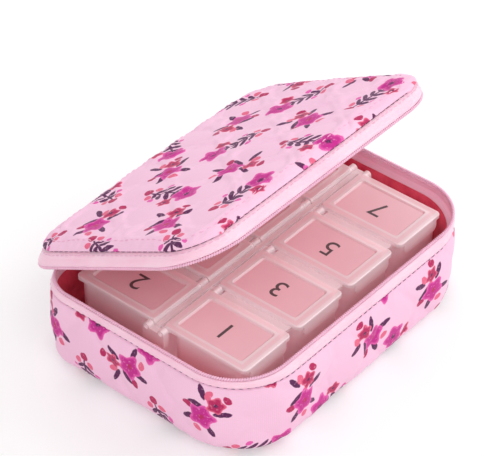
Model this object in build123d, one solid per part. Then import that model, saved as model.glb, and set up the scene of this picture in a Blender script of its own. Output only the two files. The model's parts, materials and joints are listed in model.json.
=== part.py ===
from build123d import *
import os

# Travel pill box: a quilted zip-around case, half open, with a two-row pill organiser inside.
# Millimetres. X runs along the case, -Y is the opening side, the cloth hinge is at +Y.
# The origin is the middle of the face that the case stands on.

# Case base, rim and lid, each a plan with rounder corners in front than at the hinge
base_length = 138.6
base_depth = 102.4
base_front_corner = 27.0
base_back_corner = 15.0
base_height = 34.5
base_edge_radius = 9.0
rim_flare = 0.2
rim_setback = 1.45
rim_front_corner = 23.0
rim_back_corner = 15.0
base_tape_height = 4.2
lid_tape_height = 4.4
lid_taper = 3.1
lid_front_corner = 15.0
lid_back_corner = 12.0
lid_rise = 4.0
crown_radius = 1500.0
lid_edge_radius = 1.3
least_round = 0.2
cover_thickness = 1.0
padding_thickness = 2.2
lining_thickness = 0.8
seam_inset = 2.0
lid_opening = 28.5

# Zip
coil_size = 1.4
coil_edge_radius = 0.4
coil_gap = 0.2
zip_end = 25.4
stop_length = 2.6
stop_wall = 0.6

# Cloth hinge strip on the back wall
hinge_height = 28.0
strip_thickness = 0.9
strip_half_width = 22.0
strip_foot = 10.0
strip_gap = 0.15
fold_gap = 0.3
fold_room = 0.05

# Slider and pull
slider_length = 9.0
slider_height = 5.6
slider_plate = 1.0
slider_gap = 0.45
slider_corner = 1.6
slider_travel = 9.0
post_length = 2.0
bridge_wire = 1.2
bridge_span = 5.6
bridge_reach = 1.5
pull_length = 18.0
pull_width = 5.0
pull_thickness = 1.4
pull_hole = 2.4
pull_eye_width = 2.8
pull_play = 0.05
notch_room = 0.6

# Organiser
columns = 4
tray_side_room = 4.9
tray_end_room = 7.2
lid_spacing = 4.2
pill_lid_top = 38.5
pill_lid_plate = 1.7
pill_lid_corner = 2.0
pill_lid_round = 0.5
lip_depth = 1.2
lip_wall = 0.8
lip_play = 0.3
panel_border = 3.4
panel_front_border = 4.6
panel_depth = 0.7
panel_slope = 0.7
panel_corner = 1.4
flap_inset = 3.0
flap_wall = 0.9
flap_drop = 4.5
flap_corner = 2.2
row_gap = 4.4
pin_drop = 2.0
pin_setback = 1.2
knuckle_radius = 1.8
knuckle_inset = 0.1
pin_radius = 0.9
pin_length = 1.5
pin_play = 0.05
lug_gap = 0.25
end_lug_thickness = 2.7
spine_thickness = 1.8
spine_drop = 0.9
lug_drop = 4.0
cup_wall = 1.1
cup_corner = 4.0
cup_inset = 0.5
cup_rim_drop = 0.3
cup_side_gap = 0.3
deck_thickness = 1.2
deck_setback = 3.0
cup_spine_gap = 0.8
tray_floor = 1.5
tray_margin = 0.4
tray_corner = 12.0
tray_edge_radius = 1.2
tray_seat_gap = 0.1

# Places worked out from the sizes
wall = cover_thickness + padding_thickness + lining_thickness
back = base_depth / 2
rim_length = base_length + 2 * rim_flare
rim_depth = base_depth - 2 * rim_setback
rim_back = rim_depth / 2
tape_top = base_height + base_tape_height
zip_level = tape_top + coil_size
lid_coil_low = zip_level + coil_gap
lid_tape_low = lid_coil_low + coil_size
lid_seam = lid_tape_low + lid_tape_height
lid_top = lid_seam + lid_rise
fold_line = back + strip_gap + strip_thickness + fold_room
hinge_axis = Axis((0, fold_line, hinge_height), (-1, 0, 0))
slider_x = zip_end + slider_gap + slider_length / 2
coil_middle = rim_back - cover_thickness / 2
slider_face = coil_middle + coil_size / 2 + slider_gap
bridge_y = slider_face + slider_plate + bridge_reach
column_pitch = (base_length - 2 * (wall + tray_side_room + tray_margin)) / columns
pill_lid_width = column_pitch - lid_spacing
flap_width = pill_lid_width - 2 * flap_inset
pin_y = row_gap / 2 + pin_setback
pin_z = pill_lid_top - pin_drop
cup_width = pill_lid_width - 2 * cup_inset
cup_near = pin_y + knuckle_radius + cup_spine_gap
cup_far = back - wall - tray_end_room - tray_margin
pill_lid_depth = cup_far + cup_side_gap + flap_wall - row_gap / 2
cup_rim = pill_lid_top - pill_lid_plate - cup_rim_drop
tray_bottom = wall + tray_seat_gap
column_middles = [(i - (columns - 1) / 2) * column_pitch for i in range(columns)]


def box(x0, x1, y0, y1, z0, z1):
    """A block between two corners."""
    middle = Pos((x0 + x1) / 2, (y0 + y1) / 2, (z0 + z1) / 2)
    return middle * Box(x1 - x0, y1 - y0, z1 - z0)


def plan(length, depth, front_corner, back_corner):
    """A rectangle with one corner radius at the front and another at the hinge side."""
    face = Rectangle(length, depth)
    corners = face.vertices().sort_by(Axis.Y)
    face = fillet(corners[:2], front_corner)
    return fillet(face.vertices().group_by(Axis.Y)[-1], back_corner)


def base_plan(inset):
    """The base's plan drawn in by inset."""
    return plan(
        base_length - 2 * inset, base_depth - 2 * inset, base_front_corner - inset, base_back_corner - inset
    )


def rim_plan(inset):
    """The plan of both tooth rows drawn in by inset."""
    return plan(rim_length - 2 * inset, rim_depth - 2 * inset, rim_front_corner - inset, rim_back_corner - inset)


def lid_plan(inset):
    """The plan of the lid's seam drawn in by inset."""
    gap = 2 * (lid_taper + inset)
    return plan(rim_length - gap, rim_depth - gap, lid_front_corner - inset, lid_back_corner - inset)


def block(face, low, high):
    """A plan raised between two heights."""
    return Pos(0, 0, low) * extrude(face, high - low)


def leaning_block(low_face, high_face, low, high):
    """A solid that leans from one plan to another."""
    return loft([Pos(0, 0, low) * low_face, Pos(0, 0, high) * high_face], ruled=True)


def base_form(inset):
    """The base drawn in by inset on every side, with its round bottom edge."""
    form = block(base_plan(inset), inset, base_height)
    edges = form.faces().sort_by(Axis.Z)[0].edges()
    return fillet(edges, base_edge_radius - inset)


def base_pieces():
    """Cover, padding and lining of the base, each a layer of the same form."""
    cover = base_form(0) - base_form(cover_thickness)
    seam = block(base_plan(base_edge_radius + seam_inset), 0, cover_thickness)
    inner = base_form(cover_thickness + padding_thickness)
    hem_low = base_height - lining_thickness
    hem = block(base_plan(cover_thickness), hem_low, base_height) - block(base_plan(wall), hem_low, base_height)
    padding = base_form(cover_thickness) - inner - hem
    lining = inner - base_form(wall) + hem
    return {
        "base_bottom_panel": cover & seam,
        "base_side_band": cover - seam,
        "base_padding": padding,
        "base_lining": lining,
    }


def lid_form(inset):
    """The closed lid drawn in by inset: an upright wall under a crowned top with a round edge."""
    top = lid_top - inset
    ball = Pos(0, 0, lid_top - crown_radius) * Sphere(crown_radius - inset)
    form = block(lid_plan(inset), lid_seam, top) & ball
    edges = form.faces().sort_by(Axis.Z)[-1].edges()
    return fillet(edges, max(lid_edge_radius - inset, least_round))


def lid_pieces():
    """Panel, padding and lining of the closed lid: a crowned panel over a lens of padding on a flat lining."""
    padding = lid_form(cover_thickness)
    lining = block(lid_plan(cover_thickness), lid_seam - lining_thickness, lid_seam)
    return {"lid_panel": lid_form(0) - padding, "lid_padding": padding, "lid_lining": lining}


def coil(low):
    """A tooth row on the tape's edge, open across the back where the hinge strip is."""
    half = coil_size / 2
    middle = cover_thickness / 2
    high = low + coil_size
    ring = block(rim_plan(middle - half), low, high) - block(rim_plan(middle + half), low, high)
    ring = fillet(ring.faces().filter_by(Axis.Z).edges(), coil_edge_radius)
    return ring - box(-zip_end, zip_end, 0, rim_depth, low, high)


def tape(low_plan, high_plan, low, high):
    """A tape that leans from one plan to another, as thick as the cover."""
    outer = leaning_block(low_plan(0), high_plan(0), low, high)
    return outer - leaning_block(low_plan(cover_thickness), high_plan(cover_thickness), low, high)


def zip_stop(x, low):
    """A crimped stop at the end of a tooth row, as high as the coil and a lip over the tape."""
    half = coil_size / 2 + stop_wall
    x0 = x - stop_length / 2
    y0 = coil_middle - half
    return box(x0, x0 + stop_length, y0, y0 + 2 * half, low, low + coil_size + stop_wall)


def zip_pieces():
    """Both tapes, their coils and the stops, with room in the lid tape for the slider."""
    notch_end = slider_x + slider_travel + slider_length / 2 + notch_room
    notch_top = zip_level + slider_height / 2 + notch_room
    notch = box(strip_half_width, notch_end, 0, rim_depth, zip_level, notch_top)
    base_tape = tape(base_plan, rim_plan, base_height, tape_top)
    lid_tape = tape(rim_plan, lid_plan, lid_tape_low, lid_seam) - notch
    stop_x = zip_end - stop_length / 2
    return {
        "base_zip_tape": base_tape,
        "base_zip_coil": coil(tape_top),
        "zip_end_stop": zip_stop(stop_x, tape_top - stop_wall) - base_tape,
        "base_top_stop": zip_stop(-stop_x, tape_top - stop_wall) - base_tape,
        "lid_zip_tape": lid_tape,
        "lid_zip_coil": coil(lid_coil_low) - notch,
        "lid_top_stop": zip_stop(-stop_x, lid_coil_low) - lid_tape,
    }


def strip(route):
    """A length of the cloth hinge strip, from the points of its inner face on the back wall."""
    outer = [(y + strip_thickness, z) for y, z in reversed(route)]
    face = make_face(Polyline(*route, *outer, close=True))
    return Pos(-strip_half_width, 0, 0) * extrude(Plane.YZ * face, 2 * strip_half_width)


def hinge_strips():
    """The strip's foot on the base, and the part above the fold that leans in over the zip to the lid."""
    y = back + strip_gap
    foot = strip([(y, strip_foot), (y, hinge_height - fold_gap)])
    seam_y = rim_back - lid_taper + strip_gap
    rise = [
        (y, hinge_height + fold_gap),
        (y, base_height),
        (rim_back + strip_gap, lid_tape_low),
        (seam_y, lid_seam),
    ]
    return {"hinge_strip_base": foot, "hinge_strip_lid": strip(rise)}


def slider_body():
    """Two plates over the tooth rows, the post that parts them and the bridge for the pull."""
    y_out = slider_face
    y_in = coil_middle - coil_size / 2 - slider_gap
    plan = RectangleRounded(slider_length, slider_height, slider_corner)
    plate = extrude(Plane.XZ * plan, -slider_plate)
    outer = Pos(slider_x, y_out, zip_level) * plate
    inner = Pos(slider_x, y_in - slider_plate, zip_level) * plate
    post_x = slider_x + slider_length / 2
    post = box(post_x - post_length, post_x, y_in, y_out, zip_level + slider_gap, zip_level + post_length)
    half = bridge_span / 2
    y_bridge = slider_face + slider_plate
    path = Polyline((-half, 0), (-half, bridge_reach), (half, bridge_reach), (half, 0))
    path = fillet(path.vertices()[1:3], bridge_wire)
    path = Pos(slider_x, y_bridge, zip_level) * path
    bridge = sweep(Plane(origin=path @ 0, z_dir=path % 0) * Circle(bridge_wire / 2), path)
    return outer + inner + post + bridge


def pull_tab():
    """The pull: an eye round the bridge and a flat tab with a hole near its end."""
    eye_bore = bridge_wire / 2 + pull_play
    eye_radius = eye_bore + pull_thickness / 2
    half = pull_thickness / 2
    tab = Rot(0, 0, 90) * SlotOverall(pull_length, pull_width)
    tab -= Pos(0, -pull_length / 2 + pull_width / 2) * Circle(pull_hole / 2)
    tab = extrude(Plane.XZ * tab, half, both=True)
    tab = Pos(0, 0, -pull_length / 2 - eye_radius) * tab
    neck = box(-pull_eye_width / 2, pull_eye_width / 2, -half, half, -eye_radius - pull_width / 2, 0)
    eye = Rot(0, 90, 0) * Cylinder(eye_radius, pull_eye_width)
    bore = Rot(0, 90, 0) * Cylinder(eye_bore, pull_width)
    return Pos(slider_x, bridge_y, zip_level) * (tab + neck + eye - bore)


def pill_lid():
    """One pill lid, lying toward +Y from its pin axis on X: framed plate, lip, flap, knuckle and pins."""
    y1 = pill_lid_depth - pin_setback
    middle = pill_lid_depth / 2 - pin_setback
    low = pin_drop - pill_lid_plate
    plan = RectangleRounded(pill_lid_width, pill_lid_depth, pill_lid_corner)
    plate = Pos(0, middle, low) * extrude(plan, pill_lid_plate)
    plate = fillet(plate.faces().sort_by(Axis.Z)[-1].edges(), pill_lid_round)
    panel_y0 = panel_border - pin_setback
    panel_y1 = y1 - panel_front_border
    panel = Pos(0, (panel_y0 + panel_y1) / 2)
    panel_width = pill_lid_width - 2 * panel_border
    panel_length = panel_y1 - panel_y0
    bed = RectangleRounded(panel_width - 2 * panel_slope, panel_length - 2 * panel_slope, panel_corner - panel_slope)
    brim = RectangleRounded(panel_width, panel_length, panel_corner)
    plate -= leaning_block(panel * bed, panel * brim, pin_drop - panel_depth, pin_drop)
    inset = cup_wall + lip_play
    lip_y0 = cup_near - pin_y + inset
    lip_y1 = cup_far - pin_y - inset
    lip_width = cup_width - 2 * inset
    lip_corner = cup_corner - inset
    lip = RectangleRounded(lip_width, lip_y1 - lip_y0, lip_corner)
    lip -= RectangleRounded(lip_width - 2 * lip_wall, lip_y1 - lip_y0 - 2 * lip_wall, lip_corner - lip_wall)
    lip = Pos(0, (lip_y0 + lip_y1) / 2, low - lip_depth) * extrude(lip, lip_depth)
    flap = Plane.XZ * RectangleRounded(flap_width, 2 * flap_drop, flap_corner)
    flap = Pos(0, y1, low) * extrude(flap, flap_wall)
    flap -= box(-flap_width, flap_width, 0, 2 * y1, low + pill_lid_plate / 2, low + 2 * flap_drop)
    knuckle = Rot(0, 90, 0) * Cylinder(knuckle_radius, pill_lid_width - 2 * knuckle_inset)
    pins = Rot(0, 90, 0) * Cylinder(pin_radius, pill_lid_width + 2 * pin_length)
    return plate + lip + flap + knuckle + pins


def cup(x, side):
    """Outside and inside of one cup, for the row on that side of the spine."""
    middle = Pos(x, side * (cup_near + cup_far) / 2)
    outer = RectangleRounded(cup_width, cup_far - cup_near, cup_corner)
    inner = RectangleRounded(cup_width - 2 * cup_wall, cup_far - cup_near - 2 * cup_wall, cup_corner - cup_wall)
    floor = tray_bottom + tray_floor
    return (
        middle * Pos(0, 0, floor) * extrude(outer, cup_rim - floor),
        middle * Pos(0, 0, floor) * extrude(inner, cup_rim - floor),
    )


def lug(x0, x1):
    """A hinge lug across the spine, rounded over both pin lines, with a bore for each."""
    round_radius = knuckle_radius - lug_gap
    profile = Circle(round_radius)
    head = Pos(-pin_y, pin_z) * profile + Pos(pin_y, pin_z) * profile
    bridge_low = pin_z - knuckle_radius - lug_drop
    head += Pos(0, (bridge_low + pin_z) / 2) * Rectangle(2 * (pin_y + round_radius), pin_z - bridge_low)
    bore = Circle(pin_radius + pin_play)
    head -= Pos(-pin_y, pin_z) * bore + Pos(pin_y, pin_z) * bore
    head += Pos(0, (tray_bottom + bridge_low) / 2) * Rectangle(spine_thickness, bridge_low - tray_bottom)
    return Pos(x0, 0, 0) * extrude(Plane.YZ * head, x1 - x0)


def pill_tray():
    """Eight cups on one floor, decks between their rims, and the spine of lugs that the pill lids turn in."""
    half = columns * column_pitch / 2
    inner_lug = (column_pitch - pill_lid_width) / 2 - lug_gap
    first = -half + inner_lug
    floor_plan = RectangleRounded(2 * half + 2 * tray_margin, 2 * cup_far + 2 * tray_margin, tray_corner)
    tray = Pos(0, 0, tray_bottom) * extrude(floor_plan, tray_floor)
    tray = fillet(tray.faces().sort_by(Axis.Z)[0].edges(), tray_edge_radius)
    spine_top = pill_lid_top - spine_drop
    tray += box(first, -first, -spine_thickness / 2, spine_thickness / 2, tray_bottom, spine_top)
    for i in range(1, columns):
        x = -half + i * column_pitch
        tray += lug(x - inner_lug, x + inner_lug)
        for side in (-1, 1):
            deck_middle = Pos(x, side * (cup_near + cup_far - deck_setback) / 2, cup_rim - deck_thickness / 2)
            tray += deck_middle * Box(column_pitch / 2, cup_far - deck_setback - cup_near, deck_thickness)
    tray += lug(first - end_lug_thickness, first) + lug(-first, -first + end_lug_thickness)
    cups = [cup(x, side) for x in column_middles for side in (-1, 1)]
    for outer, inner in cups:
        tray += outer
    for outer, inner in cups:
        tray -= inner
    return tray


def organiser_pieces():
    """The tray and its eight lids, numbered along +X in each row."""
    pieces = {"pill_tray": pill_tray()}
    lid = pill_lid()
    for i, x in enumerate(column_middles, 1):
        pieces[f"front_lid_{i}"] = Pos(x, -pin_y, pin_z) * Rot(0, 0, 180) * lid
        pieces[f"back_lid_{i}"] = Pos(x, pin_y, pin_z) * lid
    return pieces


def main():
    """Write every piece, with those of the case lid turned to the half-open pose."""
    os.makedirs("parts", exist_ok=True)
    lid_names = ("lid_zip_tape", "lid_zip_coil", "lid_top_stop", "hinge_strip_lid")
    pieces = base_pieces() | zip_pieces() | hinge_strips() | organiser_pieces()
    pieces["zip_slider"] = slider_body()
    pieces["zip_pull"] = pull_tab()
    case_lid = lid_pieces() | {name: pieces.pop(name) for name in lid_names}
    pieces |= {name: piece.rotate(hinge_axis, lid_opening) for name, piece in case_lid.items()}
    for name, piece in pieces.items():
        export_step(piece, f"parts/{name}.step")


main()
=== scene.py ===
"""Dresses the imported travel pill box: quilted cotton case, zip, hinge strip and organiser."""

import json
import math

import bpy
import numpy as np
from mathutils import Matrix, Vector, noise
from mathutils.bvhtree import BVHTree


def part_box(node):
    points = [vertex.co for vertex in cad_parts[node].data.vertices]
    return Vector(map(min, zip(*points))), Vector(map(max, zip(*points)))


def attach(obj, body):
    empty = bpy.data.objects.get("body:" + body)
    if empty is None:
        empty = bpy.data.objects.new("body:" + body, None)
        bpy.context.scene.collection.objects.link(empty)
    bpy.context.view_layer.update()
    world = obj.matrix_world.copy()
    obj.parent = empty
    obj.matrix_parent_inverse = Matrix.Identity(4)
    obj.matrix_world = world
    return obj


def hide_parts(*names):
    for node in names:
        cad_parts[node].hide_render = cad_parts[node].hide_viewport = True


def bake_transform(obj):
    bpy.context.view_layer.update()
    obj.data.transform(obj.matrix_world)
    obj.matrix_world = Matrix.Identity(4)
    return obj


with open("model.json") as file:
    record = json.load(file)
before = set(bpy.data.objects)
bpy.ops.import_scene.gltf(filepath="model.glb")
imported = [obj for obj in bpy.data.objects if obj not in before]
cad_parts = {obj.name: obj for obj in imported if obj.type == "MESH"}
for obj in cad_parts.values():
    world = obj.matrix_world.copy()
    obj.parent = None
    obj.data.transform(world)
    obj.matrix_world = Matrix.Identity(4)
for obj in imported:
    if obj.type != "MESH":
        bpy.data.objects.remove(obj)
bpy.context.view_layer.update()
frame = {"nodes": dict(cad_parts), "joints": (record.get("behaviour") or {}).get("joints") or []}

bl_info = {
    "name": "Travel pill box",
    "version": (1, 0, 0),
    "blender": (4, 5, 0),
    "location": "View3D > Sidebar > Pill box",
    "description": "Cloth, zip, plastic and stage for a quilted travel pill box",
    "category": "Object",
}

mm = 0.001

# Places of the CAD pieces, in metres
base_low, base_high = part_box("base_side_band")
rim_low, rim_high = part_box("base_zip_tape")
base_length = base_high.x - base_low.x
base_depth = base_high.y - base_low.y
base_height = base_high.z
rim_length = rim_high.x - rim_low.x
rim_inset = 1.45 * mm
rim_depth = base_depth - 2 * rim_inset
tape_top = rim_high.z
lid_taper = 3.1 * mm
# A plan is its length, its depth and the radii of its front and back corners
base_plan = (base_length, base_depth, 27 * mm, 15 * mm)
rim_plan = (rim_length, rim_depth, 23 * mm, 15 * mm)
lid_plan = (rim_length - 2 * lid_taper, rim_depth - 2 * lid_taper, 15 * mm, 16 * mm)
coil_size = 1.4 * mm
coil_inset = 0.5 * mm
coil_gap = 0.2 * mm
lid_tape_height = 4.4 * mm
lid_rise = 4.0 * mm
lid_coil_low = tape_top + coil_size + coil_gap
lid_tape_low = lid_coil_low + coil_size
lid_seam = lid_tape_low + lid_tape_height
lid_top = lid_seam + lid_rise
crown_radius = 1500 * mm
bottom_radius = 9 * mm
bottom_seam = 11 * mm
wall = 4 * mm
# The zip stops short behind, and the lid's tape and teeth are cut away above the slider
zip_end = 25.4 * mm
notch = (22 * mm, 45 * mm)
notch_top = 43.5 * mm
hinge = next(j for j in frame["joints"] if j["name"] == "case_lid_hinge")
fold = Vector(hinge["pos_m"])
lid_opening = math.radians(-hinge["range_deg"][0])
open_lid = (
    Matrix.Translation(fold)
    @ Matrix.Rotation(-lid_opening, 4, "X")
    @ Matrix.Translation(-fold)
)
strip_half_width = 22 * mm
strip_foot = 10 * mm
strip_stand = 1.05 * mm
strip_bend = 2 * mm
pill_pitch = 30 * mm
panel_size = (19 * mm, 30.6 * mm)
panel_middle = 20.9 * mm
panel_depth = 0.7 * mm

# Thickness of each cloth
cover_thick, lining_thick, tape_thick, strip_thick = 0.9 * mm, 0.5 * mm, 0.9 * mm, 0.85 * mm

# Length of a stitch, the gap to the next one and the thickness of the thread
lid_stitch = (2.2 * mm, 0.8 * mm, 0.4 * mm)
# The seam-shadow stitches are dark plum and stand in for the shadow in each seam
seam_shadow_stitch = (2.6 * mm, 0.35 * mm, 0.32 * mm)
tape_stitch = (1.9 * mm, 0.7 * mm, 0.34 * mm)
strip_stitch = (1.9 * mm, 0.7 * mm, 0.4 * mm)

# The photograph's camera, fitted to the corners of the four front lids
camera_target = Vector((2.046, 11.289, 38.5)) * mm
camera_azimuth, camera_elevation = math.radians(-49.878), math.radians(39.621)
camera_distance = 854.852 * mm
camera_lens, camera_sensor = 168.67, 36.0

# Points along each run of a plan, from the middle of the hinge side round to it again
BACK, BACK_CORNER, SIDE, FRONT_CORNER, FRONT = 45, 20, 50, 36, 70

# Width of one band of Blender's wave texture at a scale of 1
WAVE = math.tau / 20

# A diamond's share of swell up to which its quilting stitches hold the cloth
QUILTED = 0.3


def linear(hex_colour):
    """An sRGB hex colour as linear red, green and blue."""
    parts = [int(hex_colour[i : i + 2], 16) / 255 for i in (0, 2, 4)]
    return tuple(c / 12.92 if c <= 0.04045 else ((c + 0.055) / 1.055) ** 2.4 for c in parts)


def node(tree, kind, *inputs, sockets=None, **settings):
    """Adds one node, sets its properties, and sets its inputs or links them to other nodes."""
    made = tree.nodes.new("ShaderNode" + kind)
    for name, value in settings.items():
        setattr(made, name, value)
    for key, value in (dict(enumerate(inputs)) | (sockets or {})).items():
        if isinstance(value, bpy.types.Node):
            value = value.outputs[0]
        if isinstance(value, bpy.types.NodeSocket):
            tree.links.new(value, made.inputs[key])
        elif value is not None:
            made.inputs[key].default_value = value
    return made


def opaque(colour):
    """A colour as the four numbers that a colour socket takes."""
    return (*colour, 1)


def empty_tree(owner):
    """The node tree of a material or a world, with nothing in it."""
    owner.use_nodes = True
    owner.node_tree.nodes.clear()
    return owner.node_tree


def start_material(name, **sockets):
    """A material with one Principled shader, whose plain values are set on its own sockets."""
    material = bpy.data.materials.new(name)
    tree = empty_tree(material)
    shader = node(tree, "BsdfPrincipled")
    for key, value in sockets.items():
        socket = key.replace("_", " ").title().replace("Ior", "IOR")
        shader.inputs[socket].default_value = value
    node(tree, "OutputMaterial", shader)
    return material, tree, shader


def tone_colour(tree, shader, colour, pattern, span, tones):
    """Colours the shader, from one tone to the other where the pattern goes through its span."""
    tone = node(tree, "MapRange", pattern, *span, *tones)
    toned = node(
        tree, "Mix", 1.0, sockets={6: colour, 7: tone}, data_type="RGBA", blend_type="MULTIPLY"
    )
    tree.links.new(toned.outputs[2], shader.inputs["Base Color"])


def oval(tree, place, under, colour, centre, radii, turn=0.0):
    """Paints a soft-edged oval over what is under it. Sizes in metres on the cloth."""
    local = node(
        tree, "Mapping", place, (*centre, 0), (0, 0, turn), (*radii, 1), vector_type="TEXTURE"
    )
    far = node(tree, "VectorMath", local, operation="LENGTH").outputs["Value"]
    mask = node(tree, "MapRange", far, 1.06, 0.94, 0, 1)
    return node(tree, "Mix", mask, sockets={6: under, 7: colour}, data_type="RGBA").outputs[2]


def blossom(tree, place, under, colours, centre, radius):
    """Paints an open flower with a dark eye, a mid ring and five pale petal ends."""
    eye, ring, petal = colours
    petals = 5
    local = node(tree, "VectorMath", place, (*centre, 0), operation="SUBTRACT")
    parts = node(tree, "SeparateXYZ", local)
    angle = node(tree, "Math", parts.outputs[1], parts.outputs[0], operation="ARCTAN2")
    wave = node(tree, "Math", angle, petals, operation="MULTIPLY")
    wave = node(tree, "Math", wave, operation="COSINE")
    reach = node(tree, "Math", wave, 0.14 * radius, 0.86 * radius, operation="MULTIPLY_ADD")
    far = node(tree, "VectorMath", local, operation="LENGTH").outputs["Value"]
    share = node(tree, "Math", far, reach, operation="DIVIDE")
    ramp = node(tree, "ValToRGB", share)
    stops = ramp.color_ramp.elements
    stops[0].position, stops[1].position = 0.14, 0.95
    stops[0].color, stops[1].color = eye, petal
    stops.new(0.3).color = ring
    stops.new(0.7).color = ring
    mask = node(tree, "MapRange", share, 1.04, 0.96, 0, 1)
    return node(tree, "Mix", mask, sockets={6: under, 7: ramp}, data_type="RGBA").outputs[2]


def scattered(tree, cloth, pitch, size, shift, seed):
    """Cloth places measured from the middle of the motif's own repeat, turned by chance in each."""
    scale = (1 / pitch, 1 / pitch, 0)
    grid = node(tree, "VectorMath", cloth, scale, (*shift, seed), operation="MULTIPLY_ADD")
    cell = node(tree, "VectorMath", grid, operation="FLOOR")
    inside = node(tree, "VectorMath", grid, cell, operation="SUBTRACT")
    wide = pitch / size
    middle = (-wide / 2, -wide / 2, 0)
    local = node(tree, "VectorMath", inside, (wide, wide, 0), middle, operation="MULTIPLY_ADD")
    chance = node(tree, "TexWhiteNoise", cell, noise_dimensions="3D")
    turn = node(tree, "Math", chance, math.tau, operation="MULTIPLY")
    return node(tree, "VectorRotate", local, sockets={3: turn}, rotation_type="Z_AXIS")


def berry_twig(tree, place, under, ink):
    """Paints a curved twig with paired leaves, berries at its foot and open flowers at its tip."""
    parts = node(tree, "SeparateXYZ", place)
    sway = node(tree, "Math", parts, 170.0, operation="MULTIPLY")
    sway = node(tree, "Math", sway, operation="SINE")
    across = node(tree, "Math", sway, -1.4 * mm, parts.outputs[1], operation="MULTIPLY_ADD")
    mirrored = node(tree, "Math", across, operation="ABSOLUTE")
    twig = node(tree, "CombineXYZ", parts, mirrored)
    plum, crimson, coral = ink["plum"], ink["crimson"], ink["coral"]
    painted = oval(tree, twig, under, plum, (-0.8 * mm, 0), (9 * mm, 0.5 * mm))
    for x, size in ((-5.4, 1.0), (-2.4, 1.2), (0.9, 1.15), (3.8, 0.9)):
        centre, radii = (x * mm, 1.7 * size * mm), (2.0 * size * mm, 0.78 * size * mm)
        painted = oval(tree, twig, painted, plum, centre, radii, 0.85)
    berries = ((-7.6, 2.5, coral, 1.45), (-10.4, 0, crimson, 1.8), (-3.6, 4.4, ink["pink"], 1.2))
    for x, y, colour, size in berries:
        radii = (size * mm, 0.82 * size * mm)
        painted = oval(tree, twig, painted, colour, (x * mm, y * mm), radii, 0.5)
    small, large = (4.2 * mm, -4.9 * mm), (8.2 * mm, 1.4 * mm)
    painted = blossom(tree, place, painted, (plum, crimson, coral), small, 3.0 * mm)
    return blossom(tree, place, painted, (plum, ink["magenta"], ink["pink"]), large, 5.2 * mm)


def blossom_pair(tree, place, under, ink):
    """Paints a large and a small flower with leaves and buds between them."""
    painted = under
    plum, crimson, coral = ink["plum"], ink["crimson"], ink["coral"]
    leaves = ((0.6, 4, 1.9), (1.4, -5, -1.2), (-7, -3.4, 0.7), (6.4, 3.4, 0.6), (-6, 4.6, 2.4))
    for x, y, turn in leaves:
        painted = oval(tree, place, painted, plum, (x * mm, y * mm), (2.9 * mm, 1.0 * mm), turn)
    buds = ((6.2, 0.9, coral), (-1.8, 6.6, crimson), (7.0, -5.0, crimson), (-8.6, 0.8, coral))
    for x, y, colour in buds:
        painted = oval(tree, place, painted, colour, (x * mm, y * mm), (1.7 * mm, 1.25 * mm), x)
    large, small = (-2.8 * mm, 0.6 * mm), (3.8 * mm, -2.2 * mm)
    petals = (crimson, ink["magenta"], ink["pink"])
    painted = blossom(tree, place, painted, petals, large, 5.0 * mm)
    return blossom(tree, place, painted, (plum, crimson, coral), small, 3.3 * mm)


def weave_bump(tree, shader, cloth, thread, depth, strength):
    """Plain weave on the shader's normal: warp and weft as two crossed rows of threads."""
    scale = WAVE / thread
    warp, weft = (
        node(tree, "TexWave", cloth, scale, 0.4, 2.0, wave_type="BANDS", bands_direction=way)
        for way in ("X", "Y")
    )
    height = node(tree, "Math", warp.outputs["Fac"], weft.outputs["Fac"], operation="MULTIPLY")
    bump = node(tree, "Bump", sockets={"Strength": strength, "Distance": depth, "Height": height})
    tree.links.new(bump.outputs[0], shader.inputs["Normal"])
    return height


def printed_cotton(ink):
    """Quilting cotton, plain woven and screen printed.

    It is matt, with soft fibres that catch light at the edges.
    """
    material, tree, shader = start_material(
        "screen_printed_cotton",
        roughness=0.82, sheen_weight=0.15, sheen_roughness=0.4, specular_ior_level=0.25,
    )
    cloth = node(tree, "UVMap", uv_map="cloth")
    # Thread spacing is 0.35 mm in the real cloth, drawn at 0.7 mm so that it shows
    weave = weave_bump(tree, shader, cloth, 0.7 * mm, 0.05 * mm, 0.35)
    # Brush wobble of the printed edges, about 2 mm long
    wobble = node(tree, "TexNoise", cloth, sockets={"Scale": 1 / (2.2 * mm), "Detail": 2.0})
    sway = (0.9 * mm,) * 3
    drawn = node(
        tree, "VectorMath", wobble.outputs["Color"], sway, cloth, operation="MULTIPLY_ADD"
    )
    # Ground colour drifts a little over about 30 mm, as dyed cloth does
    drift = node(tree, "TexNoise", cloth, sockets={"Scale": 1 / (30 * mm), "Detail": 1.0})
    grounds = {6: ink["ground"], 7: ink["ground_deep"]}
    ground = node(tree, "Mix", drift, sockets=grounds, data_type="RGBA").outputs[2]
    # Each motif repeats every 38 mm, and is drawn a little larger than it is written
    repeat, larger = 38 * mm, 1.15
    twig = scattered(tree, drawn, repeat, larger, (0.15, 0.3), 0.5)
    pair = scattered(tree, drawn, repeat, larger, (0.65, 0.8), 7.5)
    painted = berry_twig(tree, twig, ground, ink)
    painted = blossom_pair(tree, pair, painted, ink)
    # Dry-brush streaks let some ground show through the ink
    streaks = node(tree, "TexNoise", cloth, sockets={"Scale": 1 / (1.1 * mm), "Detail": 3.0})
    thin = node(tree, "MapRange", streaks, 0.58, 0.74, 0, 0.4)
    worn = node(tree, "Mix", thin, sockets={6: painted, 7: ground}, data_type="RGBA").outputs[2]
    # The weave's hollows are painted a little darker, a painted shade between the threads
    tone_colour(tree, shader, worn, weave, (0, 1), (0.94, 1.0))
    return material


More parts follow.
